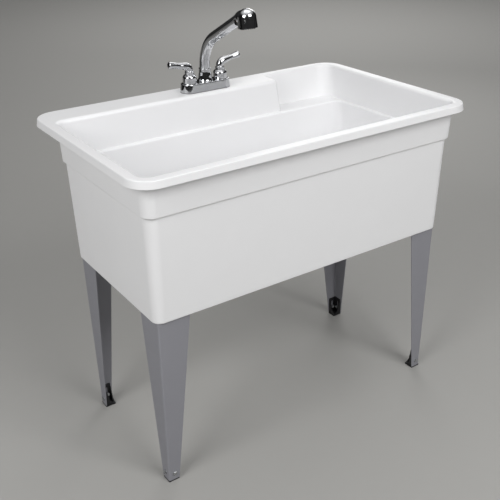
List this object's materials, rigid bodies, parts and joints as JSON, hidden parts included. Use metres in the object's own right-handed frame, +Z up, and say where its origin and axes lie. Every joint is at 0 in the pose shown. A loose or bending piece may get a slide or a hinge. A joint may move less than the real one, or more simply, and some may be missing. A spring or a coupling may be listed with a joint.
{
  "type": "utility laundry sink",
  "caption": "Free-standing laundry tub with a rear deck and shelf pocket, folded steel legs with levelling feet, and a two-lever tap with a swivelling pull-out spray spout.",
  "frame": {"origin": "on the floor, under the middle of the rim", "axes": "+X along the tub to the right, -Y to the front where the user stands, +Z up"},
  "size_m": [1.016, 0.61, 1.1183],
  "materials": {
    "tub_plastic": "satin moulded white",
    "leg_steel": "grey coated sheet",
    "foot_plastic": "black moulded",
    "zinc_steel": "zinc plated",
    "stainless_steel": "polished",
    "rubber": "black rubber",
    "fibre": "pressed fibre",
    "nut_plastic": "white moulded",
    "chrome": "polished chrome",
    "brass": "machined",
    "grey_plastic": "dark grey"
  },
  "bodies": {
    "base": {"tub": "tub_plastic", "front_left_leg": "leg_steel", "front_right_leg": "leg_steel", "back_left_leg": "leg_steel", "back_right_leg": "leg_steel", "leveller_bolts": "zinc_steel", "leveller_nuts": "zinc_steel", "strainer_body": "stainless_steel", "drain_gasket": "rubber", "drain_friction_ring": "fibre", "drain_locknut": "nut_plastic", "tailpiece_washer": "rubber", "tailpiece": "stainless_steel", "slip_nut": "nut_plastic", "tap_gasket": "rubber", "tap_base": "chrome", "hot_valve": "brass", "cold_valve": "brass", "waterway": "brass", "riser_rings": "rubber", "mounting_washers": "nut_plastic", "mounting_nuts": "nut_plastic", "hot_bell": "chrome", "cold_bell": "chrome", "spout_hub": "chrome"},
    "front_left_foot": {"front_left_foot": "foot_plastic"},
    "front_right_foot": {"front_right_foot": "foot_plastic"},
    "back_left_foot": {"back_left_foot": "foot_plastic"},
    "back_right_foot": {"back_right_foot": "foot_plastic"},
    "hot_lever": {"hot_handle": "chrome", "hot_stem": "brass", "hot_set_screw": "zinc_steel"},
    "cold_lever": {"cold_handle": "chrome", "cold_stem": "brass", "cold_set_screw": "zinc_steel"},
    "spout": {"spout_tube": "chrome", "spout_collar": "chrome", "spray_hose": "grey_plastic", "hose_coupling": "brass"},
    "spray_head": {"head_shell": "chrome", "hose_connector": "brass", "spray_face": "grey_plastic"},
    "stopper": {"stopper_plug": "rubber", "stopper_knob": "stainless_steel"}
  },
  "joints": [
    {"name": "hot_lever_turn", "type": "hinge", "parent": "base", "child": "hot_lever", "pos_m": [-0.051, 0.249, 0.9], "axis": [0, 0, 1], "range_deg": [0, 90]},
    {"name": "cold_lever_turn", "type": "hinge", "parent": "base", "child": "cold_lever", "pos_m": [0.051, 0.249, 0.9], "axis": [0, 0, 1], "range_deg": [-90, 0]},
    {"name": "spout_swivel", "type": "hinge", "parent": "base", "child": "spout", "pos_m": [0, 0.249, 0.9], "axis": [0, 0, 1], "range_deg": [-110, 110]},
    {"name": "spray_pull", "type": "slide", "parent": "spout", "child": "spray_head", "axis": [0, -0.887, 0.4617], "range_m": [0, 0.45], "deforming": ["spray_hose"]},
    {"name": "stopper_lift", "type": "slide", "parent": "base", "child": "stopper", "axis": [0, 0, 1], "range_m": [0, 0.15]},
    {"name": "front_left_levelling", "type": "slide", "parent": "base", "child": "front_left_foot", "axis": [0, 0, 1], "range_m": [-0.02, 0]},
    {"name": "front_right_levelling", "type": "slide", "parent": "base", "child": "front_right_foot", "axis": [0, 0, 1], "range_m": [-0.02, 0]},
    {"name": "back_left_levelling", "type": "slide", "parent": "base", "child": "back_left_foot", "axis": [0, 0.0461, 0.9989], "range_m": [-0.02, 0]},
    {"name": "back_right_levelling", "type": "slide", "parent": "base", "child": "back_right_foot", "axis": [0, 0.0461, 0.9989], "range_m": [-0.02, 0]}
  ]
}
